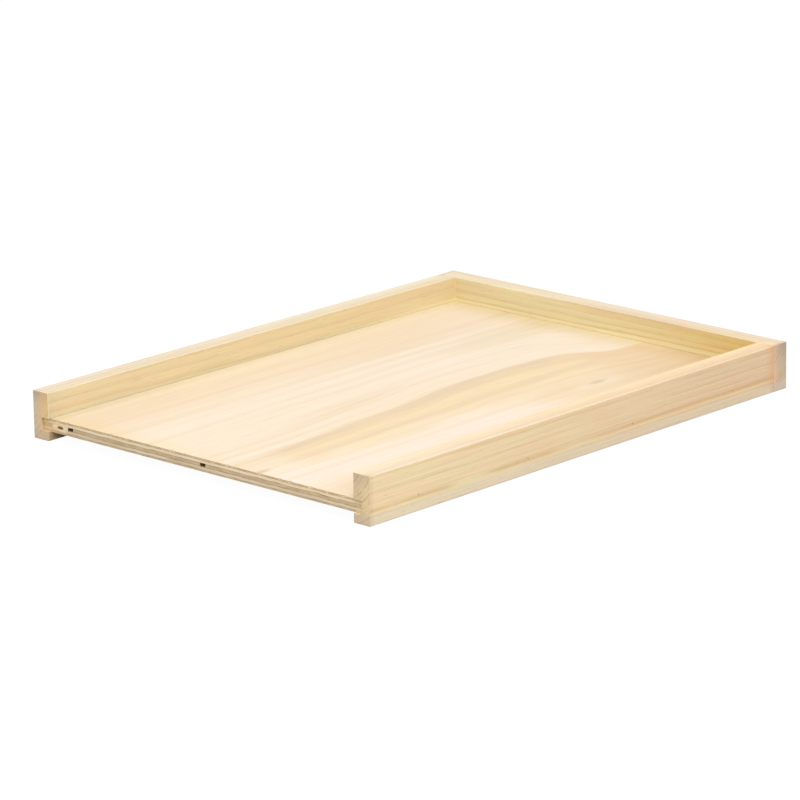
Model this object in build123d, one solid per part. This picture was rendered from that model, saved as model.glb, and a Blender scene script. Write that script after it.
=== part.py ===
from build123d import *
import os

# A solid bottom board, the floor that a ten-frame beehive stands on. A plywood panel sits in grooves in
# two side rails and a back rail. The front end is open: with the deep side up, the gap over the panel is
# the bees' summer way in, and the board is turned over for the lower winter one.
# +X is the right-hand side, -Y the open front and +Z up. The origin is on the ground under the middle.

# Overall size, in millimetres
BOARD_LENGTH = 559.0
BOARD_WIDTH = 413.0

# Softwood rails
RAIL_THICKNESS = 19.0
DEEP_SIDE = 24.0  # rail standing over the floor
SHALLOW_SIDE = 8.5  # rail standing under the floor
EASED_EDGE = 1.0  # sanded radius along the rails
EASED_END = 0.6  # sanded radius round the sawn ends

# Grooves for the floor
GROOVE_DEPTH = 9.5
GROOVE_SLACK = 0.2  # groove height over the panel's thickness
FLOOR_END_GAP = 0.5  # room for the panel to swell, at the bottom of each groove
FLOOR_SETBACK = 3.0  # panel's front edge behind the ends of the side rails

# Five-ply panel: the face, core and back run front to back, the crossbands from side to side
FACE_VENEER = 1.8
CROSSBAND = 2.6
CORE_VENEER = 3.2

# Open joints in the core, between strips of veneer: middle of each from the panel's left edge
KNOT_GAP_FROM_LEFT = 34.5
KNOT_GAP_WIDTH = 7.0
MIDDLE_GAP_FROM_LEFT = 201.0
MIDDLE_GAP_WIDTH = 7.0

# Nails through the back rail into the end grain of the side rails
NAIL_LENGTH = 50.0
NAIL_SHANK = 2.4
NAIL_HEAD = 5.6
NAIL_HEAD_THICKNESS = 1.2
NAIL_EDGE_INSET = 11.0  # from the rail's top and bottom edges

# Brads through the rails into the edge of the floor
BRAD_LENGTH = 30.0
BRAD_SHANK = 1.0
BRAD_HEAD = 1.5
BRAD_HEAD_THICKNESS = 0.5
BRAD_SET = 0.5  # head driven below the rail's face
BRAD_END_INSET = 60.0  # first and last brad from the ends of a rail
SIDE_BRADS = 4
BACK_BRADS = 4

# A nail's point and the taper under its head, for each millimetre of shank
POINT_PER_SHANK = 1.5
TAPER_PER_SHANK = 0.4

# Sizes that follow
FLOOR_THICKNESS = 2 * FACE_VENEER + 2 * CROSSBAND + CORE_VENEER
RAIL_HEIGHT = SHALLOW_SIDE + FLOOR_THICKNESS + DEEP_SIDE
FLOOR_MIDDLE = SHALLOW_SIDE + FLOOR_THICKNESS / 2
WEB = RAIL_THICKNESS - GROOVE_DEPTH  # solid wood behind a groove
RIGHT = BOARD_WIDTH / 2
FRONT = -BOARD_LENGTH / 2
BACK = BOARD_LENGTH / 2
BACK_RAIL_FRONT = BACK - RAIL_THICKNESS
SIDE_RAIL_LENGTH = BACK_RAIL_FRONT - FRONT
GROOVE_HEIGHT = FLOOR_THICKNESS + GROOVE_SLACK
GROOVE_SPAN = BOARD_WIDTH - 2 * WEB  # from groove bottom to groove bottom
FLOOR_WIDTH = GROOVE_SPAN - 2 * FLOOR_END_GAP
FLOOR_LEFT = -FLOOR_WIDTH / 2
FLOOR_FRONT = FRONT + FLOOR_SETBACK
FLOOR_BACK = BACK - WEB - FLOOR_END_GAP
FLOOR_LENGTH = FLOOR_BACK - FLOOR_FRONT

TOUCH = 1e-6  # distance at which two places count as one

MIN_ALIGN = (Align.MIN, Align.MIN, Align.MIN)
GROOVE_ALIGN = (Align.MIN, Align.MIN)
HOLE_ALIGN = (Align.CENTER, Align.CENTER, Align.MIN)


def spread(first, last, count):
    """Evenly spaced places from first to last, both included."""
    step = (last - first) / (count - 1)
    return [first + step * i for i in range(count)]


def nail(length, shank, head, head_thickness):
    """A round wire nail on the Z axis, with the top of its head at zero and its point below."""
    half = shank / 2
    neck = head_thickness + shank * TAPER_PER_SHANK
    shoulder = length - shank * POINT_PER_SHANK
    outline = Polyline(
        (0, 0),
        (head / 2, 0),
        (head / 2, -head_thickness),
        (half, -neck),
        (half, -shoulder),
        (0, -length),
        close=True,
    )
    return revolve(make_face(Plane.XZ * outline), Axis.Z)


def driven(pattern, places, towards):
    """Copies of a nail at each place, with its point driven towards the given direction."""
    return [Plane(origin=place, z_dir=-Vector(*towards)) * pattern for place in places]


# Nails, flush with the wood, and brads, set below it in the holes that the punch leaves.
# The wood is cut round both.

corner_nail = nail(NAIL_LENGTH, NAIL_SHANK, NAIL_HEAD, NAIL_HEAD_THICKNESS)
brad = Pos(0, 0, -BRAD_SET) * nail(BRAD_LENGTH, BRAD_SHANK, BRAD_HEAD, BRAD_HEAD_THICKNESS)
set_hole = Pos(0, 0, -BRAD_SET) * Cylinder(BRAD_HEAD / 2, 2 * BRAD_SET, align=HOLE_ALIGN)

nail_heights = [NAIL_EDGE_INSET, RAIL_HEIGHT - NAIL_EDGE_INSET]
brad_rows = spread(FRONT + BRAD_END_INSET, BACK_RAIL_FRONT - BRAD_END_INSET, SIDE_BRADS)
brad_columns = spread(-RIGHT + BRAD_END_INSET, RIGHT - BRAD_END_INSET, BACK_BRADS)

back_places = [(x, BACK, FLOOR_MIDDLE) for x in brad_columns]
fasteners = {"floor_brads_back": driven(brad, back_places, (0, -1, 0))}
holes = driven(set_hole, back_places, (0, -1, 0))
for side_name, side in (("left", -1), ("right", 1)):
    nail_x = side * (RIGHT - WEB / 2)
    nail_places = [(nail_x, BACK, z) for z in nail_heights]
    brad_places = [(side * RIGHT, y, FLOOR_MIDDLE) for y in brad_rows]
    fasteners[f"corner_nails_{side_name}"] = driven(corner_nail, nail_places, (0, -1, 0))
    fasteners[f"floor_brads_{side_name}"] = driven(brad, brad_places, (-side, 0, 0))
    holes += driven(set_hole, brad_places, (-side, 0, 0))

cut_from_wood = holes + [each for group in fasteners.values() for each in group]


# Rails: a section with eased corners, run out to length

blank_section = RectangleRounded(RAIL_THICKNESS, RAIL_HEIGHT, EASED_EDGE, align=GROOVE_ALIGN)
groove_section = Pos(WEB, SHALLOW_SIDE) * Rectangle(GROOVE_DEPTH, GROOVE_HEIGHT, align=GROOVE_ALIGN)


def borders_groove(edge):
    """True for an edge of the left rail's sawn end that lies on the mouth of its groove."""
    middle = edge.center()
    above_lip = middle.Z > SHALLOW_SIDE - TOUCH
    below_top = middle.Z < SHALLOW_SIDE + GROOVE_HEIGHT + TOUCH
    return middle.X > -RIGHT + WEB - TOUCH and above_lip and below_top


def left_side_rail():
    """The left rail, grooved for its whole length on its inner face and eased at its front end."""
    start = Plane(origin=(-RIGHT, FRONT, 0), x_dir=(1, 0, 0), z_dir=(0, -1, 0))
    rail = extrude(start * (blank_section - groove_section), -SIDE_RAIL_LENGTH)
    front_edges = rail.faces().sort_by(Axis.Y)[0].edges()
    return fillet(front_edges.filter_by(borders_groove, reverse=True), EASED_END)


def back_rail():
    """The back rail, across the ends of the side rails, with a groove that stops short of its ends."""
    start = Plane(origin=(-RIGHT, BACK, 0), x_dir=(0, -1, 0), z_dir=(-1, 0, 0))
    blank = extrude(start * blank_section, -BOARD_WIDTH)
    ends = blank.faces().sort_by(Axis.X)
    blank = fillet(ends[0].edges() + ends[-1].edges(), EASED_END)
    groove = Box(GROOVE_SPAN, GROOVE_DEPTH, GROOVE_HEIGHT, align=MIN_ALIGN)
    return blank - Pos(-GROOVE_SPAN / 2, BACK_RAIL_FRONT, SHALLOW_SIDE) * groove


# Floor: veneers glued up from the back veneer to the face


def veneer(bottom, thickness, left=FLOOR_LEFT, width=FLOOR_WIDTH):
    """One layer of the panel, or a strip of one, from the panel's front edge to its back edge."""
    return Pos(left, FLOOR_FRONT, bottom) * Box(width, FLOOR_LENGTH, thickness, align=MIN_ALIGN)


def core_strip(first, last, bottom):
    """A strip of the core between two distances from the panel's left edge."""
    return veneer(bottom, CORE_VENEER, FLOOR_LEFT + first, last - first)


lower_crossband_bottom = SHALLOW_SIDE + FACE_VENEER
core_bottom = lower_crossband_bottom + CROSSBAND
upper_crossband_bottom = core_bottom + CORE_VENEER
face_bottom = upper_crossband_bottom + CROSSBAND
knot_gap = (KNOT_GAP_FROM_LEFT - KNOT_GAP_WIDTH / 2, KNOT_GAP_FROM_LEFT + KNOT_GAP_WIDTH / 2)
middle_gap = (MIDDLE_GAP_FROM_LEFT - MIDDLE_GAP_WIDTH / 2, MIDDLE_GAP_FROM_LEFT + MIDDLE_GAP_WIDTH / 2)

left_rail = left_side_rail()
wood = {
    "left_side_rail": left_rail,
    "right_side_rail": mirror(left_rail, about=Plane.YZ),
    "back_rail": back_rail(),
    "floor_back_veneer": veneer(SHALLOW_SIDE, FACE_VENEER),
    "floor_lower_crossband": veneer(lower_crossband_bottom, CROSSBAND),
    "floor_core_left_strip": core_strip(0, knot_gap[0], core_bottom),
    "floor_core_middle_strip": core_strip(knot_gap[1], middle_gap[0], core_bottom),
    "floor_core_right_strip": core_strip(middle_gap[1], FLOOR_WIDTH, core_bottom),
    "floor_upper_crossband": veneer(upper_crossband_bottom, CROSSBAND),
    "floor_face_veneer": veneer(face_bottom, FACE_VENEER),
}

# Each node to its own file

os.makedirs("parts", exist_ok=True)
for name, piece in wood.items():
    export_step(Compound(children=(piece - cut_from_wood).solids()), f"parts/{name}.step")
for name, group in fasteners.items():
    export_step(Compound(children=[each.solid() for each in group]), f"parts/{name}.step")
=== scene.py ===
import math

import bpy
from mathutils import Euler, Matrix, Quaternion, Vector


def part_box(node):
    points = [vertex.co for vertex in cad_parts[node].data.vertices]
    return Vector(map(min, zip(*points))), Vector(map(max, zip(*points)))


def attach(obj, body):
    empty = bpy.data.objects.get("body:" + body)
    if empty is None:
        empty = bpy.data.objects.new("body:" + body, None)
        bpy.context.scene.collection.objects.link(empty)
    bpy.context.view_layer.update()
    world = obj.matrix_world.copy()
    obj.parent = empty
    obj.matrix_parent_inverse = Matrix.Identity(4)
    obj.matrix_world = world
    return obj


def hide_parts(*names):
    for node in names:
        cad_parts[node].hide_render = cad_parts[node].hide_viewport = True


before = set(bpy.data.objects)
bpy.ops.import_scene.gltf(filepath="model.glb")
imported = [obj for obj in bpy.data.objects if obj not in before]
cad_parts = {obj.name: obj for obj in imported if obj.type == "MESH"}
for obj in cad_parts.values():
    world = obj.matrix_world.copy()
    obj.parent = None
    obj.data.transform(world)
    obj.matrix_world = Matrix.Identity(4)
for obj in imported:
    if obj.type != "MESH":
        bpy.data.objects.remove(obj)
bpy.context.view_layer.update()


# Face veneer
# The floor's top layer: peeled pine, sanded, and glued down with its grain from front to back. A streak of
# honey-coloured wood runs through it, and the saw has broken splinters out of its front edge.

COLUMN_WIDTH = 0.0015  # between the lines of the grid that a layer is modelled on
ROW_COUNT = 12
FRONT_ROWS = (0.0008, 0.003, 0.008)  # more lines, close behind the sawn front edge
GLUE_WAVE_LENGTH = 0.012
GLUE_WAVE_HEIGHT = 0.0012
CLOUD_MIDDLE = 0.5  # the value that a cloudy texture varies about
TOUCH = 1e-5  # distance at which two places count as one


def cloud(name, size, low=0.0, high=1.0):
    """A cloudy texture with lumps of a size in metres, flat below one of its values and above another."""
    texture = bpy.data.textures.new(name, "CLOUDS")
    texture.noise_scale = size
    texture.use_color_ramp = True
    start, end = texture.color_ramp.elements
    start.position = low
    start.color = (0.0, 0.0, 0.0, 1.0)
    end.position = high
    end.color = (1.0, 1.0, 1.0, 1.0)
    return texture


def push(piece, group, texture, axis, distance, rest=0.0):
    """Moves a group of points along an axis by a texture. Where its value is rest, they stay."""
    bpy.context.view_layer.objects.active = piece
    shove = piece.modifiers.new("push", "DISPLACE")
    shove.texture = texture
    shove.texture_coords = "GLOBAL"
    shove.direction = axis
    shove.strength = distance
    shove.mid_level = rest
    shove.vertex_group = group
    bpy.ops.object.modifier_apply(modifier=shove.name)


def group_points(piece, name, chosen):
    """Names the points of a piece that pass a test."""
    members = [point.index for point in piece.data.vertices if chosen(point.co)]
    piece.vertex_groups.new(name=name).add(members, 1.0, "REPLACE")


glue_wave = cloud("glue_wave", GLUE_WAVE_LENGTH)


def veneer_layer(name, node_name, bare_height=None):
    """A layer of the panel, whose glued faces wave a little. A bare face, at its height, stays flat."""
    low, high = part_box(node_name)
    size = high - low
    bpy.ops.object.select_all(action="DESELECT")
    bpy.ops.mesh.primitive_grid_add(
        x_subdivisions=round(size.x / COLUMN_WIDTH),
        y_subdivisions=ROW_COUNT,
        size=1.0,
        location=((low.x + high.x) / 2, (low.y + high.y) / 2, low.z),
    )
    layer = bpy.context.object
    layer.name = name
    layer.data.name = name
    layer.scale = (size.x, size.y, 1.0)
    bpy.ops.object.transform_apply(location=True, rotation=True, scale=True)

    bpy.ops.object.mode_set(mode="EDIT")
    bpy.ops.mesh.select_all(action="SELECT")
    bpy.ops.mesh.extrude_region_move(TRANSFORM_OT_translate={"value": (0.0, 0.0, size.z)})
    for inset in FRONT_ROWS:
        bpy.ops.mesh.select_all(action="SELECT")
        bpy.ops.mesh.bisect(plane_co=(0.0, low.y + inset, 0.0), plane_no=(0.0, 1.0, 0.0))
    bpy.ops.mesh.select_all(action="SELECT")
    bpy.ops.mesh.normals_make_consistent(inside=False)
    bpy.ops.object.mode_set(mode="OBJECT")

    # Where a point lies between the layer's two glue lines, for the finish of the sawn edge
    share = layer.data.attributes.new("layer_share", "FLOAT", "POINT")
    share.data.foreach_set("value", [(point.co.z - low.z) / size.z for point in layer.data.vertices])

    group_points(layer, "glued", lambda place: bare_height is None or abs(place.z - bare_height) > TOUCH)
    push(layer, "glued", glue_wave, "Z", GLUE_WAVE_HEIGHT, rest=CLOUD_MIDDLE)
    return layer


SPLINTER_LENGTH = 0.004
SPLINTER_DEPTH = 0.0012
SPLINTER_DROP = 0.0007
SPLINTER_RARE, SPLINTER_WHOLE = 0.52, 0.72  # the texture's values where splintering starts and is full

face_low, face_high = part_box("floor_face_veneer")
face_layer = veneer_layer("face_veneer", "floor_face_veneer", bare_height=face_high.z)
splinters = cloud("splinters", SPLINTER_LENGTH, SPLINTER_RARE, SPLINTER_WHOLE)


def on_front_arris(place):
    """True on the face veneer's upper front edge."""
    return place.y < face_low.y + TOUCH and place.z > face_high.z - TOUCH


group_points(face_layer, "front_arris", on_front_arris)
push(face_layer, "front_arris", splinters, "Y", SPLINTER_DEPTH)
push(face_layer, "front_arris", splinters, "Z", -SPLINTER_DROP)
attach(face_layer, "root")
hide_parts("floor_face_veneer")


def feed(node, inputs):
    """Gives each input of a shader node its value, or a link from another node's output."""
    for name, value in inputs.items():
        if isinstance(value, bpy.types.NodeSocket):
            node.id_data.links.new(value, node.inputs[name])
        else:
            node.inputs[name].default_value = value


def add_node(kind, inputs, tree=None, **settings):
    """The outputs of a new shader node, in a given tree or in the one that its inputs are linked from."""
    linked = [value for value in inputs.values() if isinstance(value, bpy.types.NodeSocket)]
    made = (tree or linked[0].id_data).nodes.new(f"ShaderNode{kind}")
    for name, value in settings.items():
        setattr(made, name, value)
    feed(made, inputs)
    return made.outputs


def calculate(operation, first, second=0.0, third=0.0):
    """One sum on numbers that change over the surface."""
    return add_node("Math", {0: first, 1: second, 2: third}, operation=operation)[0]


def calculate_vector(operation, first, second=(0.0, 0.0, 0.0)):
    """One sum on places or directions. A length and a dot product give a number, the others a vector."""
    result = "Value" if operation in ("LENGTH", "DOT_PRODUCT") else "Vector"
    return add_node("VectorMath", {0: first, 1: second}, operation=operation)[result]


def axes_of(place):
    """The three coordinates of a place."""
    return add_node("SeparateXYZ", {0: place})


def both(*masks):
    """The product of two masks or more."""
    result = masks[0]
    for mask in masks[1:]:
        result = calculate("MULTIPLY", result, mask)
    return result


def rise(value, start, whole):
    """A mask that goes smoothly from 0, where a number is at its start, to 1, where it is whole."""
    ends = {"Value": value, "From Min": start, "From Max": whole}
    return add_node("MapRange", ends, interpolation_type="SMOOTHSTEP")[0]


def between(share, low, high):
    """A number that goes from low to high as a mask goes from 0 to 1."""
    return calculate("MULTIPLY_ADD", share, high - low, low)


def mix(share, first, second, mode="MIX", strength=1.0):
    """Two colours mixed by a mask, which a strength under 1 weakens."""
    if strength < 1.0:
        share = both(share, strength)
    sides = {0: share, 6: first, 7: second}
    return add_node("Mix", sides, data_type="RGBA", blend_type=mode)[2]


def tinted(share, base, tint, strength=1.0):
    """A colour multiplied by a tint where a mask is."""
    return mix(share, base, tint, "MULTIPLY", strength)


def streaks(place, across, along, detail=2.0):
    """Noise drawn out along Z, in streaks of a width and a length in metres."""
    drawn_out = calculate_vector("MULTIPLY", place, (1 / across, 1 / across, 1 / along))
    return add_node("TexNoise", {"Vector": drawn_out, "Scale": 1.0, "Detail": detail})["Fac"]


def centred(noise):
    """Noise that varies about 0, not about a half."""
    return calculate("SUBTRACT", noise, 0.5)


LOOKS_ALONG = (0.55, 0.85)  # cosines of the angle to an axis, where a face starts to look along it and does


def facing(tree, axis):
    """A mask on the faces that look along an axis, either way."""
    normal = add_node("NewGeometry", {}, tree)["Normal"]
    along = calculate_vector("DOT_PRODUCT", normal, axis)
    return rise(calculate("ABSOLUTE", along), *LOOKS_ALONG)


def new_group(name, takes, gives):
    """An empty shader node group, with what it is given and where its results go."""
    tree = bpy.data.node_groups.new(name, "ShaderNodeTree")
    for socket, kind in takes.items():
        tree.interface.new_socket(socket, in_out="INPUT", socket_type=f"NodeSocket{kind}")
    for socket, kind in gives.items():
        tree.interface.new_socket(socket, in_out="OUTPUT", socket_type=f"NodeSocket{kind}")
    return tree, tree.nodes.new("NodeGroupInput").outputs, tree.nodes.new("NodeGroupOutput").inputs


def new_material(name):
    """An empty node material with its shader, and the place on the piece in metres."""
    material = bpy.data.materials.new(name)
    material.use_nodes = True
    tree = material.node_tree
    place = add_node("TexCoord", {}, tree)["Object"]
    return material, tree, tree.nodes["Principled BSDF"], place


RELIEF_DEPTH = 0.0003


def raised(height, strength):
    """The normals of a surface that its grain raises and sinks."""
    return add_node("Bump", {"Height": height, "Strength": strength, "Distance": RELIEF_DEPTH})[0]


def colour(red, green, blue):
    """A colour given in the 0 to 255 steps of a screen."""
    steps = [step / 255 for step in (red, green, blue)]
    return (*[step / 12.92 if step < 0.04 else ((step + 0.055) / 1.055) ** 2.4 for step in steps], 1.0)


def peeled_figure_group():
    """A peeled veneer's figure, its grain along Z: slow patches, soft lines, fibres and resin canals."""
    tree, given, gives = new_group(
        "peeled_figure",
        {"Place": "Vector"},
        {"Patches": "Float", "Lines": "Float", "Fibre": "Float", "Canals": "Float"},
    )
    link = tree.links.new
    place = given["Place"]
    link(rise(streaks(place, 0.055, 0.45), 0.3, 0.7), gives["Patches"])
    broad = rise(streaks(place, 0.009, 0.5, detail=3.0), 0.42, 0.72)
    fine = rise(streaks(place, 0.0022, 0.16, detail=4.0), 0.48, 0.8)
    link(calculate("MULTIPLY_ADD", fine, 0.5, both(broad, 0.5)), gives["Lines"])
    link(streaks(place, 0.0009, 0.03, detail=5.0), gives["Fibre"])
    link(rise(streaks(place, 0.0007, 0.008, detail=1.0), 0.68, 0.78), gives["Canals"])
    return tree


RING_SLANT = 7.0  # a ring's way along a sawn edge for each step up it


def sawn_end_group():
    """The sawn end grain of a peeled veneer: long slanting rings, fine checks, and the marks of the saw."""
    tree, given, gives = new_group(
        "sawn_end",
        {"Place": "Vector"},
        {"Rings": "Float", "Checks": "Float", "Saw": "Float"},
    )
    link = tree.links.new
    axes = axes_of(given["Place"])
    slanted = calculate("MULTIPLY_ADD", axes[2], RING_SLANT, axes[0])
    laid = add_node("CombineXYZ", {0: axes[2], 2: slanted})[0]
    link(rise(streaks(laid, 0.0008, 0.012, detail=3.0), 0.3, 0.7), gives["Rings"])
    upright = add_node("CombineXYZ", {0: axes[0], 2: axes[2]})[0]
    link(rise(streaks(upright, 0.0007, 0.003), 0.56, 0.72), gives["Checks"])
    link(streaks(upright, 0.0012, 0.05), gives["Saw"])
    return tree


peeled_figure = peeled_figure_group()
sawn_end = sawn_end_group()
LAID_ALONG_Y = (math.radians(90), 0.0, 0.0)

VENEER_PALE = colour(239, 222, 200)
VENEER_CREAM = colour(237, 217, 190)
VENEER_LINE_TINT = colour(244, 234, 218)
VENEER_CANAL = colour(206, 172, 128)
FACE_END = (colour(228, 203, 163), colour(192, 162, 121))
GLUE_LINE = colour(120, 92, 62)
GLUE_LINE_SHARE = 0.1  # of a layer's thickness
# The left corner's glue stain, paled by painted light in its groove's shade, and painted light at the right
# corner
LEFT_GLUE_STAIN_AND_LIGHT = colour(234, 190, 132)
LEFT_STAIN_ACROSS = (-0.164, -0.19)
RIGHT_GROOVE_LIGHT = colour(233, 212, 158)
RIGHT_GROOVE_LIGHT_ACROSS = (0.186, 0.19)
END_ROUGHER = 0.25  # roughness that sawn end grain adds


def glue_mask(tree, above=True, below=True):
    """The dark lines of glue along the top and bottom of a layer's sawn edges."""
    share = add_node("Attribute", {}, tree, attribute_name="layer_share")["Fac"]
    upper = rise(share, 1.0 - GLUE_LINE_SHARE, 1.0)
    lower = rise(share, GLUE_LINE_SHARE, 0.0)
    return calculate("MAXIMUM", both(upper, float(above)), both(lower, float(below)))


def glue_stained_and_lit(place, base):
    """Glue in the left rail's groove has stained the panel's front corner brown and far in, in a tone that
    painted light also pales where the panel lies in the groove's shade. The paler tone at the right corner,
    inside its groove, is painted light.
    """
    across = axes_of(place)[0]
    base = mix(rise(across, *LEFT_STAIN_ACROSS), base, LEFT_GLUE_STAIN_AND_LIGHT, strength=0.5)
    return mix(rise(across, *RIGHT_GROOVE_LIGHT_ACROSS), base, RIGHT_GROOVE_LIGHT, strength=0.5)


def end_grain(place, glue, pale, dark):
    """The colour and the relief of a layer's sawn end grain, with its glue."""
    sawn = add_node("Group", {"Place": place}, node_tree=sawn_end)
    base = mix(sawn["Rings"], pale, dark)
    base = mix(sawn["Checks"], base, dark, strength=0.5)
    base = mix(glue, base, GLUE_LINE, strength=0.85)
    return glue_stained_and_lit(place, base), calculate("SUBTRACT", sawn["Saw"], sawn["Checks"])


def spot(place, middle, size, start, whole):
    """A round or oval mask, from its start to where it is whole, both in times its size from its middle."""
    in_sizes = calculate_vector("DIVIDE", calculate_vector("SUBTRACT", place, middle), size)
    return rise(calculate_vector("LENGTH", in_sizes), start, whole)


def patch(axes, across=None, along=None):
    """A mask on a patch of the floor, from where it starts to where it is whole, across it and along it."""
    borders = [(axis, ends) for axis, ends in zip(axes, (across, along)) if ends]
    return both(*[rise(axis, *ends) for axis, ends in borders])


LEFT_SIDE_TINT = colour(253, 249, 241)
LEFT_EDGE_PALE = (colour(240, 226, 198), colour(247, 233, 204))
BACK_LEFT_TINT = colour(249, 247, 237)
BACK_LEFT_PLACE = (-0.066, 0.205, 0.0)
BACK_LEFT_SIZE = (0.034, 0.14, 1.0)
BACK_END_TINT = colour(253, 253, 242)
FRONT_EDGE_TINT = colour(255, 252, 239)


def plain_floor(place, figure):
    """The veneer without its streak, in slow patches, and yellower to the left, the back and the front."""
    axes = axes_of(place)
    base = mix(figure["Patches"], VENEER_PALE, VENEER_CREAM)
    left_side = patch(axes, across=(-0.08, -0.13), along=(0.3, 0.1))
    base = tinted(left_side, base, LEFT_SIDE_TINT)
    back_left = spot(place, BACK_LEFT_PLACE, BACK_LEFT_SIZE, start=1.0, whole=0.3)
    base = tinted(back_left, base, BACK_LEFT_TINT)
    left_edge = mix(patch(axes, along=(-0.22, -0.08)), *LEFT_EDGE_PALE)
    base = mix(patch(axes, across=(-0.145, -0.185)), base, left_edge, strength=0.8)
    base = tinted(patch(axes, along=(0.215, 0.262)), base, BACK_END_TINT)
    front_edge = patch(axes, across=(0.12, -0.08), along=(-0.25, -0.27))
    return tinted(front_edge, base, FRONT_EDGE_TINT)


# Places on the streak's sharp left edge, from front to back: along the floor, then across it
STREAK_EDGE = (
    (-0.2765, 0.031),
    (-0.2, 0.031),
    (-0.15, 0.028),
    (-0.09, 0.023),
    (-0.045, 0.021),
    (0.02, 0.011),
    (0.1, 0.01),
    (0.15, 0.013),
    (0.17, 0.0165),
    (0.187, 0.024),
    (0.203, 0.035),
    (0.2175, 0.0445),
    (0.24, 0.05),
    (0.2695, 0.052),
)
STREAK_REACH = 0.1  # more than the edge's furthest place across
NEW_CURVE_POINTS = 2  # that a curve has to begin with


def streak_edge(along):
    """How far across the floor the streak's left edge lies, for each place along it."""
    length = face_high.y - face_low.y
    run = {"Value": along, "From Min": face_low.y, "From Max": face_high.y}
    edge = add_node("FloatCurve", {"Value": add_node("MapRange", run)[0]})[0]
    points = edge.node.mapping.curves[0].points
    for number, (y, x) in enumerate(STREAK_EDGE):
        location = ((y - face_low.y) / length, x / STREAK_REACH)
        if number < NEW_CURVE_POINTS:
            points[number].location = location
        else:
            points.new(*location)
    edge.node.mapping.update()
    return calculate("MULTIPLY", edge, STREAK_REACH)


STREAK_HONEY = colour(234, 212, 168)
STREAK_AMBER = colour(234, 207, 169)
STREAK_DARK = colour(222, 198, 165)
BRIGHT_FRONT = colour(239, 222, 203)
TAN_BACK = colour(234, 210, 174)
TAN_BEND = colour(230, 203, 165)
TAN_CORNER = colour(220, 192, 149)
BACK_EDGE_LIGHT = colour(245, 227, 181)

STREAK_START = (-0.002, 0.006)  # from its left edge
STREAK_RIGHT = (0.064, 0.104)  # across the floor, where it starts to fade out and where it ends
EDGE_FIBRES = 0.016
WANDER_ACROSS, WANDER_ALONG = 0.04, 0.12
FIRST_LINE_START = (-0.002, 0.007)  # from the streak's left edge
FIRST_LINE_END = (0.028, 0.011)
SECOND_LINE_ACROSS = 0.057  # at the middle of the board's length, before its sway
SECOND_LINE_SLANT = -0.022
SECOND_LINE_SWAY = 0.01
SECOND_LINE_HALF = (0.01, 0.001)  # from the line's middle


def streaked(place, turned, laid, edge, base):
    """The honey-coloured streak right of its edge, the wood beyond it, and the dark lines in it."""
    axes = axes_of(place)
    across, along = axes[0], axes[1]

    # Distance into the streak, with a fibrous edge. The streak is paler near the front
    ragged = centred(streaks(laid, 0.0025, 0.07, detail=4.0))
    into = calculate("MULTIPLY_ADD", ragged, EDGE_FIBRES, calculate("SUBTRACT", across, edge))
    paling = between(patch(axes, along=(-0.245, -0.205)), 0.4, 1.0)
    in_streak = both(rise(into, *STREAK_START), paling)

    # Right of the streak the wood is bright at the front, and tan at the back and along the rail, with
    # borders that wander along the grain
    wander = centred(streaks(turned, 0.016, 0.1, detail=3.0))
    roaming = (
        calculate("MULTIPLY_ADD", wander, WANDER_ACROSS, across),
        calculate("MULTIPLY_ADD", wander, WANDER_ALONG, along),
    )
    base = mix(patch(roaming, across=STREAK_RIGHT, along=(0.06, -0.03)), base, BRIGHT_FRONT)
    base = mix(patch(roaming, across=STREAK_RIGHT, along=(0.0, 0.09)), base, TAN_BACK)
    base = mix(patch(roaming, across=(0.118, 0.15)), base, TAN_BACK, strength=0.6)
    amber = rise(streaks(laid, 0.007, 0.06), 0.42, 0.62)
    honey = mix(amber, STREAK_HONEY, STREAK_AMBER)
    base = mix(both(in_streak, patch(roaming, across=STREAK_RIGHT[::-1])), base, honey)
    base = mix(both(in_streak, patch(axes, along=(0.15, 0.2))), base, TAN_BEND)
    base = mix(patch(axes, across=(0.07, 0.17), along=(0.06, 0.24)), base, TAN_CORNER)
    # Painted light pales the floor along the back rail, lifting the shade in that corner
    lit_by_back_rail = patch(axes, across=(0.11, 0.06), along=(0.243, 0.258))
    base = mix(lit_by_back_rail, base, BACK_EDGE_LIGHT, strength=0.5)

    # One dark line lies inside the sharp edge, and one runs nearly straight
    first = both(rise(into, *FIRST_LINE_START), rise(into, *FIRST_LINE_END))
    gaps = rise(streaks(laid, 0.008, 0.08), 0.3, 0.6)
    first = both(first, between(gaps, 0.5, 1.0), paling, patch(axes, along=(0.19, 0.14)))
    sway = streaks(turned, 0.5, 0.09, detail=1.0)
    straight = calculate("MULTIPLY_ADD", along, SECOND_LINE_SLANT, SECOND_LINE_ACROSS)
    second_place = calculate("MULTIPLY_ADD", sway, SECOND_LINE_SWAY, straight)
    aside = calculate("ABSOLUTE", calculate("SUBTRACT", across, second_place))
    second = both(rise(aside, *SECOND_LINE_HALF), paling, patch(axes, along=(0.24, 0.18)))
    lines = calculate("MAXIMUM", both(first, 0.9), both(second, 0.5))
    return mix(lines, base, STREAK_DARK)


FLECK = colour(206, 186, 150)
FLECKS = ((0.107, 0.129), (0.072, -0.2725))
FLECK_SIZE = (0.004, 0.0115, 1.0)


def flecked(place, base):
    """Small dark flecks in the wood, with paler wood round them."""
    for fleck_x, fleck_y in FLECKS:
        middle = (fleck_x, fleck_y, face_high.z)
        halo = spot(place, middle, FLECK_SIZE, start=4.0, whole=1.5)
        base = mix(halo, base, VENEER_PALE, strength=0.35)
        fleck = spot(place, middle, FLECK_SIZE, start=1.5, whole=0.2)
        base = mix(fleck, base, FLECK, strength=0.75)
    return base


SPLINTERED = colour(234, 210, 172)
TORN_BELOW = (0.00003, 0.0002)  # the sanded face, where torn wood starts to show and shows fully
STREAK_MIDDLE = 0.03
BEND_REACH = (0.1, 0.02)  # from the streak's middle


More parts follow.
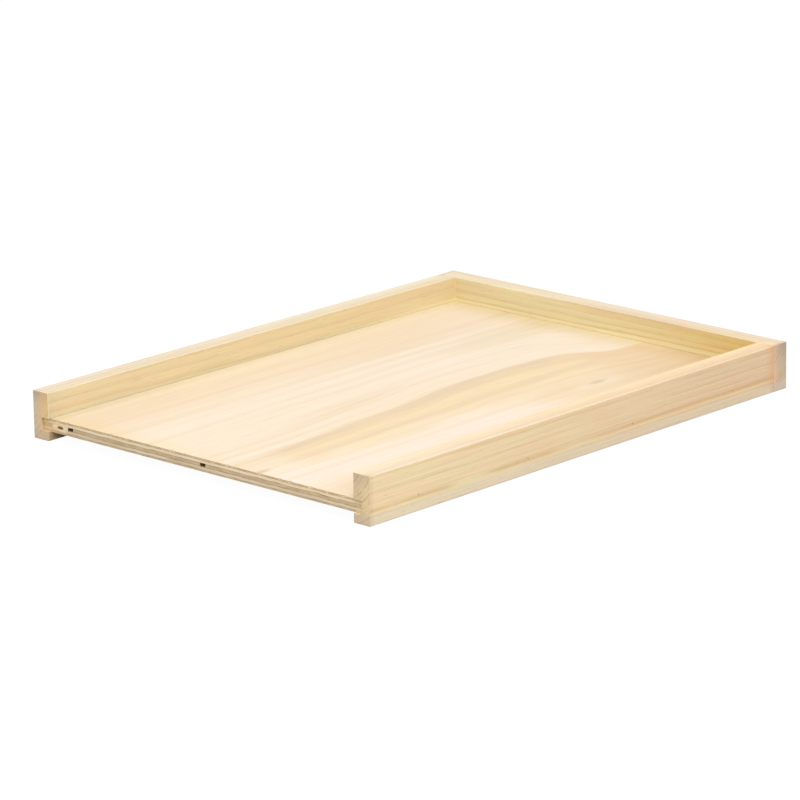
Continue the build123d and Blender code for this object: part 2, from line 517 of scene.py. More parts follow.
def face_finish():
    """Sanded veneer with its honey-coloured streak, and end grain on its sawn edges."""
    material, tree, shader, place = new_material("face_veneer")
    axes = axes_of(place)
    turned = add_node("Mapping", {"Vector": place, "Rotation": LAID_ALONG_Y})[0]

    # The figure bends with the streak, and straightens away from it
    edge = streak_edge(axes[1])
    from_streak = calculate("ABSOLUTE", calculate("SUBTRACT", axes[0], STREAK_MIDDLE))
    bent = both(edge, rise(from_streak, *BEND_REACH))
    laid = calculate_vector("SUBTRACT", turned, add_node("CombineXYZ", {0: bent})[0])
    figure = add_node("Group", {"Place": laid}, node_tree=peeled_figure)

    base = plain_floor(place, figure)
    base = streaked(place, turned, laid, edge, base)
    base = flecked(place, base)
    base = tinted(figure["Lines"], base, VENEER_LINE_TINT, strength=0.8)
    base = mix(figure["Canals"], base, VENEER_CANAL, strength=0.25)
    base = tinted(1.0, base, between(figure["Fibre"], 0.92, 1.08))
    torn_off = rise(axes[2], *[face_high.z - depth for depth in TORN_BELOW])
    base = mix(torn_off, base, SPLINTERED)

    end = facing(tree, (0.0, 1.0, 0.0))
    end_base, end_relief = end_grain(place, glue_mask(tree, above=False), *FACE_END)
    height = add_node("Mix", {0: end, 2: figure["Fibre"], 3: end_relief})[0]
    feed(shader, {
        "Base Color": mix(end, base, end_base),
        "Roughness": calculate("MULTIPLY_ADD", end, END_ROUGHER, between(figure["Fibre"], 0.42, 0.62)),
        "Normal": raised(height, 0.3),
        "Specular IOR Level": 0.35,
    })
    return material


face_layer.data.materials.append(face_finish())


# Crossbands
# The two layers next to the outer veneers, of plainer pine, with their grain from side to side. Their long
# grain shows on the front edge as two paler lines.

UPPER_BAND = (colour(248, 232, 203), colour(237, 213, 172))
# The lower crossband's darker tones are painted shade, as less light reaches the bottom of the panel's edge
LOWER_BAND_SHADED = (colour(235, 220, 194), colour(215, 193, 158))
BAND_GLUED = colour(166, 136, 98)
BAND_LINE_SHARE = 0.6  # of fine lines in the tone, beside slow changes
LAID_ALONG_X = (0.0, math.radians(-90), 0.0)

# A sawn-through knot in the core, near the left rail, with paler wood round it in the crossbands too
KNOT_PLACE = (-0.175, -0.2765, 0.0142)
KNOT_SIZE = (0.0042, 1.0, 0.0017)
KNOT_RING = colour(250, 228, 188)


def knot_ringed(place, base):
    """The paler wood round the knot."""
    return mix(spot(place, KNOT_PLACE, KNOT_SIZE, start=2.8, whole=2.0), base, KNOT_RING)


def band_finish(name, pale, brown):
    """Long grain, cut along by the saw on the front edge, with the glue at its top and bottom."""
    material, tree, shader, place = new_material(name)
    turned = add_node("Mapping", {"Vector": place, "Rotation": LAID_ALONG_X})[0]
    lines = streaks(turned, 0.0009, 0.035, detail=4.0)
    slow = both(streaks(turned, 0.004, 0.05), 1.0 - BAND_LINE_SHARE)
    tone = calculate("MULTIPLY_ADD", lines, BAND_LINE_SHARE, slow)
    base = mix(rise(tone, 0.35, 0.68), pale, brown)
    base = knot_ringed(place, base)
    edge = facing(tree, (0.0, 1.0, 0.0))
    base = mix(both(glue_mask(tree), edge), base, GLUE_LINE, strength=0.75)
    base = mix(facing(tree, (0.0, 0.0, 1.0)), base, BAND_GLUED)
    feed(shader, {
        "Base Color": glue_stained_and_lit(place, base),
        "Roughness": between(lines, 0.55, 0.75),
        "Normal": raised(lines, 0.4),
        "Specular IOR Level": 0.3,
    })
    return material


for band_name, band_tones in (("upper_crossband", UPPER_BAND), ("lower_crossband", LOWER_BAND_SHADED)):
    crossband = veneer_layer(band_name, f"floor_{band_name}")
    crossband.data.materials.append(band_finish(band_name, *band_tones))
    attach(crossband, "root")
    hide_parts(f"floor_{band_name}")


# Core strips
# The middle layer, laid in three strips that don't quite meet, so the front edge has two dark holes. The
# strips were torn to width, and the left one has the knot near its end.

TORN_SIZE = 0.003
TORN_DEPTH = 0.0022
CORE_END = (colour(228, 203, 162), colour(188, 157, 117))
TORN_BROWN = colour(146, 114, 78)
KNOT_BROWN = colour(140, 106, 70)


def core_finish():
    """End grain with its glue, the sawn-through knot with paler wood round it, and dark torn sides."""
    material, tree, shader, place = new_material("core_veneer")
    base, height = end_grain(place, glue_mask(tree), *CORE_END)
    base = knot_ringed(place, base)
    base = mix(spot(place, KNOT_PLACE, KNOT_SIZE, start=1.1, whole=0.7), base, KNOT_BROWN)
    feed(shader, {
        "Base Color": mix(facing(tree, (1.0, 0.0, 0.0)), base, TORN_BROWN),
        "Roughness": 0.8,
        "Normal": raised(height, 0.4),
        "Specular IOR Level": 0.2,
    })
    return material


core = core_finish()
torn = cloud("torn_edge", TORN_SIZE)
for side in ("left", "middle", "right"):
    node_name = f"floor_core_{side}_strip"
    strip = veneer_layer(f"core_{side}_strip", node_name)
    strip_low, strip_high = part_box(node_name)
    for end_x in (strip_low.x, strip_high.x):
        if face_low.x + TOUCH < end_x < face_high.x - TOUCH:
            group_name = f"torn_at_{end_x:.3f}"
            group_points(strip, group_name, lambda place: abs(place.x - end_x) < TOUCH)
            push(strip, group_name, torn, "X", TORN_DEPTH, rest=CLOUD_MIDDLE)
    strip.data.materials.append(core)
    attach(strip, "root")
    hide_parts(node_name)


# Back veneer
# The panel's underside: the same peeled pine as the face, of a plainer grade and without the streak. It is
# glued on like the face, with its grain from front to back.

BACK_GRADE_PLACE = (0.61, 0.0, 0.37)  # another stretch of the figure than the face has
BACK_GRADE_WARM = colour(238, 214, 178)
# The back veneer's end grain is a little darker than the face's: painted shade at the bottom of the panel's
# edge
BACK_END_SHADED = (colour(226, 202, 166), colour(186, 158, 122))


def back_finish():
    """Veneer that is sanded less finely than the face, with end grain on its sawn edges."""
    material, tree, shader, place = new_material("back_veneer")
    where = {"Vector": place, "Rotation": LAID_ALONG_Y, "Location": BACK_GRADE_PLACE}
    turned = add_node("Mapping", where)[0]
    figure = add_node("Group", {"Place": turned}, node_tree=peeled_figure)
    base = mix(figure["Patches"], VENEER_CREAM, BACK_GRADE_WARM)
    base = tinted(figure["Lines"], base, VENEER_LINE_TINT)
    base = mix(figure["Canals"], base, VENEER_CANAL, strength=0.4)
    end = facing(tree, (0.0, 1.0, 0.0))
    end_base, end_relief = end_grain(place, glue_mask(tree, below=False), *BACK_END_SHADED)
    height = add_node("Mix", {0: end, 2: figure["Fibre"], 3: end_relief})[0]
    feed(shader, {
        "Base Color": mix(end, base, end_base),
        "Roughness": 0.65,
        "Normal": raised(height, 0.4),
        "Specular IOR Level": 0.3,
    })
    return material


back_layer = veneer_layer("back_veneer", "floor_back_veneer", bare_height=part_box("floor_back_veneer")[0].z)
back_layer.data.materials.append(back_finish())
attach(back_layer, "root")
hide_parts("floor_back_veneer")


# Side rails
# Two lengths of clear, planed pine, ripped to 19 by 44.5 mm and grooved inside for the floor. Their edges
# are eased with a sanding block, and their front ends are left as the saw cut them.

RING_WIDTH = 0.0036
LEAN_WIDTH, LEAN_LENGTH = 0.09, 0.6  # of the slow waves in a trunk
YEARS_SCALE = 60.0  # runs of good and bad years in a metre of a log's radius
YEARS_SWING = 2.6  # rings
RING_UNEVENNESS = 0.35  # rings
RUB_SCALE = 160.0  # rubs of the sanding block to a metre


def pine_log_group():
    """Growth rings, fibres and resin canals in a log whose pith runs along Z."""
    tree, given, gives = new_group(
        "pine_log",
        {"Place": "Vector", "Ring Width": "Float", "Drift": "Float"},
        {"Radius": "Float", "Latewood": "Float", "Fibre": "Float", "Canals": "Float"},
    )
    link = tree.links.new
    place = given["Place"]

    # The rings lean and swell slowly along the trunk
    slow_place = calculate_vector("MULTIPLY", place, (1 / LEAN_WIDTH, 1 / LEAN_WIDTH, 1 / LEAN_LENGTH))
    lean = add_node("TexNoise", {"Vector": slow_place, "Scale": 1.0, "Detail": 1.0})["Color"]
    lean = calculate_vector("SUBTRACT", lean, (0.5, 0.5, 0.5))
    shift = add_node("VectorMath", {0: lean, "Scale": given["Drift"]}, operation="SCALE")[0]
    leaning = calculate_vector("ADD", place, shift)
    radius = calculate_vector("LENGTH", calculate_vector("MULTIPLY", leaning, (1.0, 1.0, 0.0)))
    link(radius, gives["Radius"])

    # Good and bad years, and the small unevenness of each ring
    swings = {"W": radius, "Scale": YEARS_SCALE, "Detail": 1.0}
    years = add_node("TexNoise", swings, noise_dimensions="1D")["Fac"]
    uneven = streaks(place, 0.004, 0.09, detail=3.0)
    ring = calculate("DIVIDE", radius, given["Ring Width"])
    ring = calculate("MULTIPLY_ADD", years, YEARS_SWING, ring)
    ring = calculate("MULTIPLY_ADD", uneven, RING_UNEVENNESS, ring)
    part = calculate("FRACT", ring)
    number = calculate("FLOOR", ring)
    year = add_node("TexWhiteNoise", {"W": number}, noise_dimensions="1D")["Value"]

    # Latewood darkens through the summer and stops short at the winter, and fades here and there
    summer = calculate("POWER", rise(part, 0.2, 0.95), 1.6)
    winter = rise(part, 1.0, 0.96)
    strength = between(year, 0.2, 1.0)
    fade = rise(streaks(place, 0.008, 0.14), 0.2, 0.65)
    link(both(summer, winter, strength, fade), gives["Latewood"])

    link(streaks(place, 0.0011, 0.06, detail=5.0), gives["Fibre"])
    link(rise(streaks(place, 0.0009, 0.011, detail=1.0), 0.66, 0.76), gives["Canals"])
    return tree


def arris_group():
    """A mask along the edges of a box-shaped piece, uneven as a sanding block leaves them."""
    tree, given, gives = new_group(
        "arris",
        {"Place": "Vector", "Middle": "Vector", "Half Size": "Vector", "Reach": "Float"},
        {"Mask": "Float"},
    )
    from_middle = calculate_vector("SUBTRACT", given["Place"], given["Middle"])
    outward = calculate_vector("ABSOLUTE", from_middle)
    axes = axes_of(calculate_vector("SUBTRACT", given["Half Size"], outward))

    # On a face the smallest inset is nothing, so the middle one is the way to the nearest edge
    low = calculate("MINIMUM", axes[0], axes[1])
    high = calculate("MAXIMUM", axes[0], axes[1])
    to_edge = calculate("MINIMUM", calculate("MAXIMUM", low, axes[2]), high)
    rub = {"Vector": given["Place"], "Scale": RUB_SCALE, "Detail": 3.0}
    uneven = add_node("TexNoise", rub)["Fac"]
    reach = both(given["Reach"], both(uneven, 2.0))
    near = calculate("SUBTRACT", 1.0, calculate("DIVIDE", to_edge, reach))
    tree.links.new(rise(near, 0.0, 1.0), gives["Mask"])
    return tree


pine_log = pine_log_group()
arris = arris_group()

tray_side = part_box("right_side_rail")[0].x
tray_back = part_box("back_rail")[0].y
rail_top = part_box("back_rail")[1].z
floor_top = face_high.z
floor_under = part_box("floor_back_veneer")[0].z

HEART_BORDER = 0.0012
HEART_LINE_HALF = (0.0024, 0.0002)  # from the line's middle
HEART_LINE_TINT = colour(240, 229, 213)


def grown_tones(in_log, log, run, heart_radius, sapwood, heartwood):
    """Heartwood inside sapwood, both changing along the piece, with a dark line between them."""
    past_heart = calculate("SUBTRACT", log["Radius"], heart_radius)
    heart = rise(past_heart, HEART_BORDER, -HEART_BORDER)
    base = mix(heart, mix(run, *sapwood), mix(run, *heartwood))
    line = rise(calculate("ABSOLUTE", past_heart), *HEART_LINE_HALF)
    fading = rise(streaks(in_log, 0.02, 0.07, detail=1.0), 0.25, 0.6)
    return tinted(both(line, fading), base, HEART_LINE_TINT)


# How far out a place lies, from the inner face of its rail
INNER_FACE = (0.002, 0.0005)
OUTER_FACE = (0.008, 0.018)
TOP_SHADE_SIDES = (0.004, 0.016)
END_SIDES = (0.004, 0.017)

# Painted shade at the foot of the inner faces, under the floor and at the outer foot; painted light towards
# the back corners
FOOT_SHADE = colour(246, 252, 255)
FOOT_LIGHT = colour(246, 238, 190)
UNDER_FLOOR_SHADE = colour(222, 210, 197)
OUTER_FOOT_SHADE = colour(223, 210, 192)
AT_FLOOR = (-0.003, -0.001)  # these three are heights over the floor
FOOT_SHADE_HEIGHT = (0.007, 0.0015)
LIT_FOOT_HEIGHT = (0.012, -0.001)
UNDER_FLOOR_BORDER = 0.0005
OUTER_FOOT_SHADE_HEIGHT = (0.012, 0.005)
BACKWARD_START = 0.05  # along the board


def lit_and_shaded_feet(axes, outward, outer, outside, base):
    """Painted shade darkens the foot of the inner faces, and painted light makes it paler towards the back
    corners. Painted shade darkens the wood under the floor, painted warm light tints the outer face, and
    painted shade greys the foot of the outer faces."""
    inner_face = rise(outward, *INNER_FACE)
    over_floor = calculate("SUBTRACT", axes[2], floor_top)
    inner = both(inner_face, rise(over_floor, *AT_FLOOR))
    forward = rise(axes[1], tray_back, BACKWARD_START)
    # Painted shade at the foot of the inner faces
    shaded_foot = both(inner, rise(over_floor, *FOOT_SHADE_HEIGHT), forward)
    base = tinted(shaded_foot, base, FOOT_SHADE)
    # Painted light, paler towards the back corners, where the corner's shade falls
    backward = rise(axes[1], BACKWARD_START, tray_back)
    lit_foot = both(inner, rise(over_floor, *LIT_FOOT_HEIGHT), backward)
    base = mix(lit_foot, base, FOOT_LIGHT, strength=0.45)
    # Painted shade on the inner faces under the floor
    below = rise(axes[2], floor_under + UNDER_FLOOR_BORDER, floor_under - UNDER_FLOOR_BORDER)
    base = tinted(both(inner_face, below), base, UNDER_FLOOR_SHADE)
    # Painted warm light on the outer face, like the bounce that the inner faces get from the floor
    base = tinted(outer, base, outside)
    # Painted shade at the foot of the outer faces
    shaded_outer_foot = both(outer, rise(axes[2], *OUTER_FOOT_SHADE_HEIGHT))
    return mix(shaded_outer_foot, base, OUTER_FOOT_SHADE, strength=0.5)


END_FOOT_HEIGHT = (0.013, 0.005)
END_TONE_SHARE = 0.92
END_LATEWOOD_TINT = colour(232, 218, 200)
END_DARKENED = colour(182, 164, 142)


def sawn_pine(axes, across_end, edge, log, base, ends):
    """End grain, which soaks up the light, and which is darker along its edges and towards its top."""
    end_tone = mix(rise(across_end, *ends["reach"]), *ends["tones"])
    end_tone = mix(rise(axes[2], *END_FOOT_HEIGHT), end_tone, ends["foot"], strength=0.7)
    base = mix(END_TONE_SHARE, base, end_tone)
    base = tinted(log["Latewood"], base, END_LATEWOOD_TINT)
    below_top = calculate("SUBTRACT", rail_top, axes[2])
    darkened = calculate("MAXIMUM", edge, rise(below_top, ends["darkened_reach"], 0.0))
    darkened_share = between(rise(across_end, *END_SIDES), *ends["darkened"])
    return mix(both(darkened, darkened_share), base, END_DARKENED)


LATEWOOD_TINT = colour(228, 206, 178)
CANAL_TINT = colour(196, 160, 118)
RUDDY_TINT = colour(255, 251, 248)
OLIVE_TINT = colour(253, 255, 250)
PINE_SANDED = colour(250, 238, 216)
BY_END_TINT = colour(241, 240, 239)
BY_END_REACH = 0.007
SANDED_REACH = 0.0014
END_SAW_PITCH = 0.0014


def pine_finish(name, box, axis, turn, pith, sapwood, top, outside, ends, marks, heartwood=None,
                heart_radius=0.0, drift=0.014, change=(0.0, 1.0), latewood=0.7):
    """Planed pine with its grain along an axis, along which turn and pith lay the log's own Z. Sapwood and
    heartwood are each two colours, for the piece's low and high ends, and meet in a dark line at the heart's
    radius. Change is where along the piece the first colour ends and the second begins. Top holds two such
    pairs, for the inner and the outer side of the top, whose darker side is painted shade for a rounder
    arris, and outside tints the outer face with painted warm light, like the bounce that the inner faces get
    from the floor. Ends holds the sawn ends' tones for their inner and outer sides, the reach from one to
    the other, the tone of the foot, and how much both sides darken and how far down. Latewood is how strong
    the rings are, and marks adds to the finished colour."""
    material, tree, shader, place = new_material(name)
    low, high = box
    axes = axes_of(place)
    in_log = add_node("Mapping", {"Vector": place, "Rotation": turn, "Location": pith})[0]
    wood = {"Place": in_log, "Ring Width": RING_WIDTH, "Drift": drift}
    log = add_node("Group", wood, node_tree=pine_log)

    # The colours change slowly along the piece, sooner in some patches than in others
    along = calculate_vector("DOT_PRODUCT", place, axis)
    patches = centred(streaks(in_log, 0.03, 0.16))
    first, last = low.dot(Vector(axis)), high.dot(Vector(axis))
    drifted = both(patches, 0.5 * (last - first))
    start, finish = [first + share * (last - first) for share in change]
    run = rise(calculate("ADD", along, drifted), start, finish)
    base = grown_tones(in_log, log, run, heart_radius, sapwood, heartwood or sapwood)

    # The top has tones of its own, which change from its inner side to its outer one. The darker side is
    # painted shade, standing in for a rounder arris
    beside = calculate("SUBTRACT", calculate("ABSOLUTE", axes[0]), tray_side)
    behind = calculate("SUBTRACT", axes[1], tray_back)
    outward = calculate("MAXIMUM", beside, behind)
    inner_top, outer_top = [mix(run, *tones) for tones in top]
    top_tone = mix(rise(outward, *TOP_SHADE_SIDES), inner_top, outer_top)
    base = mix(facing(tree, (0.0, 0.0, 1.0)), base, top_tone, strength=0.7)
    hue = rise(streaks(in_log, 0.012, 0.06), 0.35, 0.65)
    base = tinted(1.0, base, mix(hue, RUDDY_TINT, OLIVE_TINT))

    outer = rise(outward, *OUTER_FACE)
    base = lit_and_shaded_feet(axes, outward, outer, outside, base)
    long_base = tinted(log["Latewood"], base, LATEWOOD_TINT, strength=latewood)
    long_base = tinted(log["Canals"], long_base, CANAL_TINT, strength=0.3)

    # The edges are sanded paler, apart from the outer ones by the sawn ends, where the wood is darker
    middle, half_size = (low + high) / 2, (high - low) / 2
    edges = {"Place": place, "Middle": middle, "Half Size": half_size, "Reach": SANDED_REACH}
    edge = add_node("Group", edges, node_tree=arris)["Mask"]
    from_end = calculate("MINIMUM", calculate("SUBTRACT", along, first), calculate("SUBTRACT", last, along))
    by_end = both(rise(from_end, BY_END_REACH, 0.0), outer)
    sanded = both(edge, calculate("SUBTRACT", 1.0, by_end))
    long_base = mix(sanded, long_base, PINE_SANDED, strength=0.35)
    long_base = tinted(by_end, long_base, BY_END_TINT)

    # The sawn ends, and fibres that vary the tone all over
    end = facing(tree, axis)
    end_base = sawn_pine(axes, beside if axis[1] else behind, edge, log, base, ends)
    base = mix(end, long_base, end_base)
    base = tinted(1.0, base, between(log["Fibre"], 0.85, 1.15))

    saw = {"W": axes[2], "Scale": 1 / END_SAW_PITCH}
    saw_marks = add_node("TexNoise", saw, noise_dimensions="1D")["Fac"]
    height = calculate("MULTIPLY_ADD", log["Latewood"], 0.5, log["Fibre"])
    height = add_node("Mix", {0: end, 2: height, 3: saw_marks})[0]
    feed(shader, {
        "Base Color": marks(place, base),
        "Roughness": calculate("MULTIPLY_ADD", end, END_ROUGHER, between(log["Fibre"], 0.45, 0.7)),
        "Normal": raised(height, 0.35),
        "Specular IOR Level": 0.35,
    })
    return material


def dress(node, material):
    """Gives a CAD node its finish."""
    node.data.materials.clear()
    node.data.materials.append(material)


JOINT_STAIN = colour(236, 182, 136)
JOINT_STAIN_SIDE = (0.008, 0.016)  # out from a rail's inner face
JOINT_STAIN_REACH = (0.014, 0.004)  # in front of the back rail
JOINT_STAIN_HEIGHT = (0.003, 0.014)


def joint_stain(place, base):
    """Glue from the back corners has stained the side rails' outer faces there."""
    axes = axes_of(place)
    beside = calculate("ABSOLUTE", axes[0])
    outside = rise(beside, *[tray_side + depth for depth in JOINT_STAIN_SIDE])
    near_joint = rise(axes[1], *[tray_back - gap for gap in JOINT_STAIN_REACH])
    near_joint = both(near_joint, rise(axes[2], *JOINT_STAIN_HEIGHT))
    return mix(both(outside, near_joint), base, JOINT_STAIN, strength=0.45)


SIDE_END = {"reach": END_SIDES, "foot": colour(210, 190, 164), "darkened_reach": 0.014}

left_pine = pine_finish(
    "left_rail_pine",
    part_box("left_side_rail"),
    axis=(0.0, 1.0, 0.0),
    turn=LAID_ALONG_Y,
    pith=(0.26, 0.07, 0.4),
    sapwood=(colour(225, 206, 168), colour(226, 206, 165)),
    top=(
        (colour(229, 212, 184), colour(231, 217, 189)),
        (colour(236, 222, 207), colour(241, 236, 221)),
    ),
    outside=colour(255, 248, 240),
    ends=SIDE_END | {"tones": (colour(242, 203, 149), colour(219, 199, 172)), "darkened": (0.35, 0.65)},
    marks=joint_stain,
)
right_pine = pine_finish(
    "right_rail_pine",
    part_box("right_side_rail"),
    axis=(0.0, 1.0, 0.0),
    turn=LAID_ALONG_Y,
    pith=(-0.165, 0.06, 0.0),
    drift=0.006,
    heart_radius=0.0623,
    sapwood=(colour(244, 225, 185), colour(243, 213, 174)),
    heartwood=(colour(244, 221, 180), colour(238, 206, 172)),
    top=(
        (colour(237, 220, 191), colour(245, 218, 177)),
        (colour(223, 204, 184), colour(226, 197, 152)),
    ),
    outside=colour(255, 255, 255),
    ends=SIDE_END | {"tones": (colour(222, 196, 157), colour(234, 210, 167)), "darkened": (0.4, 0.35)},
    latewood=0.4,
    marks=joint_stain,
)
dress(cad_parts["left_side_rail"], left_pine)
dress(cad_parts["right_side_rail"], right_pine)


# Back rail
# The same pine, cut to the full width of the board and nailed across the ends of the side rails. It is paler
# at the left end and turns warmer towards the right one, with painted shade along its inner upper edge,
# standing in for a rounder arris. The nails' heads have bruised it.

# Painted shade along the inner upper edge, standing in for a rounder arris
ARRIS_SHADE_TINT = colour(249, 242, 243)
ARRIS_SHADE_PLACE = (0.05, tray_back + 0.002, rail_top)
ARRIS_SHADE_SIZE = (0.15, 0.011, 0.009)
BRUISED = colour(196, 168, 130)
BRUISE_START, BRUISE_WHOLE = 1.6, 1.0  # in heads from a nail's middle

nails_low, nails_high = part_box("corner_nails_right")
nail_radius = (nails_high.x - nails_low.x) / 2
nail_aside = (nails_low.x + nails_high.x) / 2
nail_middle = (nails_low.z + nails_high.z) / 2
nail_off_middle = nails_high.z - nail_radius - nail_middle


def back_rail_marks(place, base):
    """Painted shade along the middle of the inner upper edge, for a rounder arris there, and crushed wood
    round the four corner nails, which lie alike about the rail's middle."""
    arris_shade = spot(place, ARRIS_SHADE_PLACE, ARRIS_SHADE_SIZE, start=1.0, whole=0.3)
    base = tinted(arris_shade, base, ARRIS_SHADE_TINT)
    axes = axes_of(place)
    aside = calculate("ABSOLUTE", axes[0])
    off_middle = calculate("ABSOLUTE", calculate("SUBTRACT", axes[2], nail_middle))
    folded = add_node("CombineXYZ", {0: aside, 1: axes[1], 2: off_middle})[0]
    middle = (nail_aside, nails_high.y, nail_off_middle)
    size = (nail_radius, nail_radius, nail_radius)
    return mix(spot(folded, middle, size, BRUISE_START, BRUISE_WHOLE), base, BRUISED)


back_pine = pine_finish(
    "back_rail_pine",
    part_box("back_rail"),
    axis=(1.0, 0.0, 0.0),
    turn=LAID_ALONG_X,
    pith=(0.09, -0.2, 0.8),
    sapwood=(colour(226, 211, 169), colour(221, 195, 129)),
    change=(0.4, 0.95),
    top=(
        (colour(234, 219, 193), colour(234, 216, 188)),
        (colour(237, 224, 205), colour(239, 227, 218)),
    ),
    outside=colour(255, 247, 242),
    ends={
        "tones": (colour(240, 199, 160), colour(214, 190, 165)),
        "reach": (0.0, 0.009),
        "foot": colour(222, 205, 190),
        "darkened": (0.2, 0.85),
        "darkened_reach": 0.026,
    },
    marks=back_rail_marks,
)
dress(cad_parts["back_rail"], back_pine)


# Nails and brads
# Galvanised wire nails with flat heads, driven flush through the back rail, which the hammer has dished a
# little, and thin brads punched just below the rails' faces.

NAIL_SIDES = 32
NAIL_HEAD_THICKNESS = 0.0012
NAIL_SHANK = 0.0012  # radius
NAIL_NECK = 0.001  # taper under the head
NAIL_POINT = 0.0036
NAIL_TIP = 0.05  # of the shank's width
NAIL_RIM = 0.0002
NAIL_DISH_INSET = 0.0009
NAIL_DISH_DEPTH = 0.00018
NAIL_SMOOTH = math.radians(40)
CAP_LOOKS_ALONG = 0.99  # cosine of an end face's angle to the nail
ZINC_DULL, ZINC_BRIGHT = colour(150, 152, 154), colour(196, 198, 200)
SPANGLE_SCALE = 900.0  # crystals to a metre


def zinc_finish():
    """Dull zinc with its spangle."""
    material, _, shader, place = new_material("galvanised_zinc")
    spangle = add_node("TexVoronoi", {"Vector": place, "Scale": SPANGLE_SCALE})["Color"]
    value = add_node("SeparateColor", {0: spangle})[0]
    tones = mix(value, ZINC_DULL, ZINC_BRIGHT)
    feed(shader, {"Base Color": tones, "Roughness": between(value, 0.4, 0.6), "Metallic": 1.0})
    return material


def select_only(piece):
    """Selects a piece alone, and makes it the active one."""
    bpy.ops.object.select_all(action="DESELECT")
    piece.select_set(True)
    bpy.context.view_layer.objects.active = piece


def choose_cap(piece, towards):
    """Selects the end face of a nail that looks towards +Y or -Y, and leaves the piece in edit mode."""
    bpy.ops.object.mode_set(mode="EDIT")
    bpy.ops.mesh.select_mode(type="FACE")
    bpy.ops.mesh.select_all(action="DESELECT")
    bpy.ops.object.mode_set(mode="OBJECT")
    caps = [face for face in piece.data.polygons if face.normal.y * towards > CAP_LOOKS_ALONG]
    max(caps, key=lambda face: face.center.y * towards).select = True
    bpy.ops.object.mode_set(mode="EDIT")


def pull_cap(middle, length, share):
    """Draws the chosen cap out by a length towards -Y, and shrinks or widens it about the nail's axis."""
    bpy.ops.mesh.extrude_region_move(TRANSFORM_OT_translate={"value": (0.0, -length, 0.0)})
    bpy.ops.transform.resize(value=(share, 1.0, share), center_override=middle)


def corner_nail(name, x, z):
    """A nail with its head flush with the rail's back."""
    back = nails_high.y
    length = back - nails_low.y
    middle = Vector((x, back - NAIL_HEAD_THICKNESS / 2, z))
    bpy.ops.object.select_all(action="DESELECT")
    bpy.ops.mesh.primitive_cylinder_add(
        vertices=NAIL_SIDES,
        radius=nail_radius,
        depth=NAIL_HEAD_THICKNESS,
        location=middle,
        rotation=(math.radians(90), 0.0, 0.0),
    )
    nail = bpy.context.object
    nail.name = name
    nail.data.name = name
    bpy.ops.object.transform_apply(location=True, rotation=True, scale=True)

    choose_cap(nail, -1)
    pull_cap(middle, NAIL_NECK, NAIL_SHANK / nail_radius)
    pull_cap(middle, length - NAIL_HEAD_THICKNESS - NAIL_NECK - NAIL_POINT, 1.0)
    pull_cap(middle, NAIL_POINT, NAIL_TIP)

    choose_cap(nail, 1)
    bpy.ops.mesh.region_to_loop()
    bpy.ops.mesh.bevel(offset=NAIL_RIM, segments=2, affect="EDGES")
    choose_cap(nail, 1)
    bpy.ops.mesh.inset(thickness=NAIL_DISH_INSET)
    bpy.ops.transform.translate(value=(0.0, -NAIL_DISH_DEPTH, 0.0))
    bpy.ops.mesh.select_all(action="SELECT")
    bpy.ops.mesh.normals_make_consistent(inside=False)
    bpy.ops.object.mode_set(mode="OBJECT")
    return nail


def copied(piece, name, shift):
    """A copy of a piece, with a mesh of its own, moved by a shift and left selected."""
    copy = piece.copy()
    copy.data = piece.data.copy()
    copy.name = name
    copy.data.name = name
    bpy.context.collection.objects.link(copy)
    select_only(copy)
    copy.location = shift
    bpy.ops.object.transform_apply(location=True, rotation=True, scale=True)
    return copy


zinc = zinc_finish()
nails_right = corner_nail("nails_right", nail_aside, nail_middle - nail_off_middle)

# The upper nail is still selected when it is joined to the lower one
copied(nails_right, "upper_nail", (0.0, 0.0, 2 * nail_off_middle))
nails_right.select_set(True)
bpy.context.view_layer.objects.active = nails_right
bpy.ops.object.join()
nails_left = copied(nails_right, "nails_left", (-2 * nail_aside, 0.0, 0.0))
for nails, node_name in ((nails_left, "corner_nails_left"), (nails_right, "corner_nails_right")):
    select_only(nails)
    bpy.ops.object.shade_smooth_by_angle(angle=NAIL_SMOOTH)
    nails.data.materials.append(zinc)
    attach(nails, "root")
    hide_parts(node_name)
for node_name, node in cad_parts.items():
    if "brads" in node_name:
        dress(node, zinc)


# Studio
# A plain pale floor under an even white sky, with two large soft lights above it, and the camera well back
# with a long lens.

# The floor lights the board like pale paper, and the camera sees it nearly white, with a faint shadow
GROUND_SIZE = 30.0
GROUND_BOUNCE = (0.42, 0.42, 0.42, 1.0)
GROUND_SEEN = (0.035, 0.035, 0.035, 1.0)
GROUND_GLOW = 0.964
WHITE = (1.0, 1.0, 1.0, 1.0)

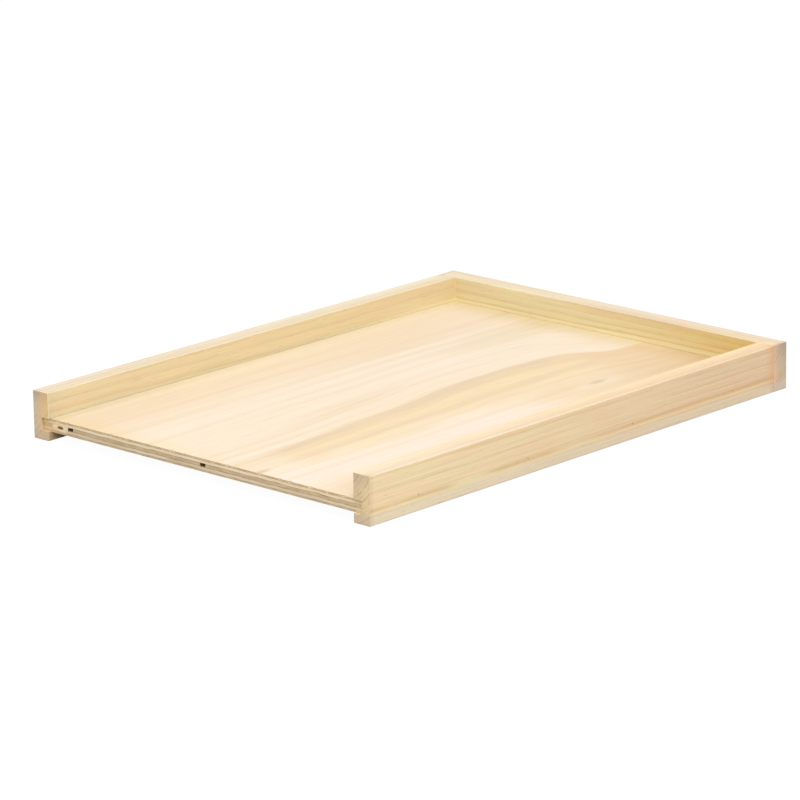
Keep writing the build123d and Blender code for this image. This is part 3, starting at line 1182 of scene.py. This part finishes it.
bpy.ops.mesh.primitive_plane_add(size=GROUND_SIZE)
ground = bpy.context.object
ground.name = "studio_floor"
ground_paint, ground_tree, ground_shader, _ = new_material("pale_floor")
seen = add_node("LightPath", {}, ground_tree)["Is Camera Ray"]
feed(ground_shader, {
    "Base Color": mix(seen, GROUND_BOUNCE, GROUND_SEEN),
    "Roughness": 0.9,
    "Specular IOR Level": 0.1,
    "Emission Color": WHITE,
    "Emission Strength": both(seen, GROUND_GLOW),
})
ground.data.materials.append(ground_paint)

SKY_STRENGTH = 0.8
world = bpy.data.worlds.new("white_sky")
world.use_nodes = True
feed(world.node_tree.nodes["Background"], {"Color": WHITE, "Strength": SKY_STRENGTH})
bpy.context.scene.world = world

# Each light's place, and its power in watts
SOFTBOXES = {"main_softbox": ((1.8, -1.45, 1.85), 46.0), "back_softbox": ((-1.5, 1.6, 2.2), 14.0)}
SOFTBOX_SIZE = 2.2
for light_name, (light_place, light_power) in SOFTBOXES.items():
    bpy.ops.object.light_add(type="AREA", location=light_place)
    softbox = bpy.context.object
    softbox.name = light_name
    softbox.data.shape = "SQUARE"
    softbox.data.size = SOFTBOX_SIZE
    softbox.data.energy = light_power
    softbox.rotation_euler = (-softbox.location).to_track_quat("-Z", "Y").to_euler()

CAMERA_AZIMUTH = math.radians(43.16)
CAMERA_ELEVATION = math.radians(15.92)
CAMERA_ROLL = math.radians(-0.864)
CAMERA_DISTANCE = 4.351
CAMERA_TARGET = Vector((-0.039, 0.0211, 0.0))
CAMERA_LENS = 213.6  # millimetres, as is the sensor's width
CAMERA_SENSOR = 36.0

level = Euler((math.radians(90) - CAMERA_ELEVATION, 0.0, CAMERA_AZIMUTH)).to_quaternion()
rolled = level @ Quaternion((0.0, 0.0, 1.0), CAMERA_ROLL)
bpy.ops.object.camera_add(location=CAMERA_TARGET + rolled @ Vector((0.0, 0.0, CAMERA_DISTANCE)))
camera = bpy.context.object
camera.rotation_mode = "QUATERNION"
camera.rotation_quaternion = rolled
camera.data.lens = CAMERA_LENS
camera.data.sensor_width = CAMERA_SENSOR
bpy.context.scene.camera = camera
bpy.context.scene.view_settings.view_transform = "Standard"
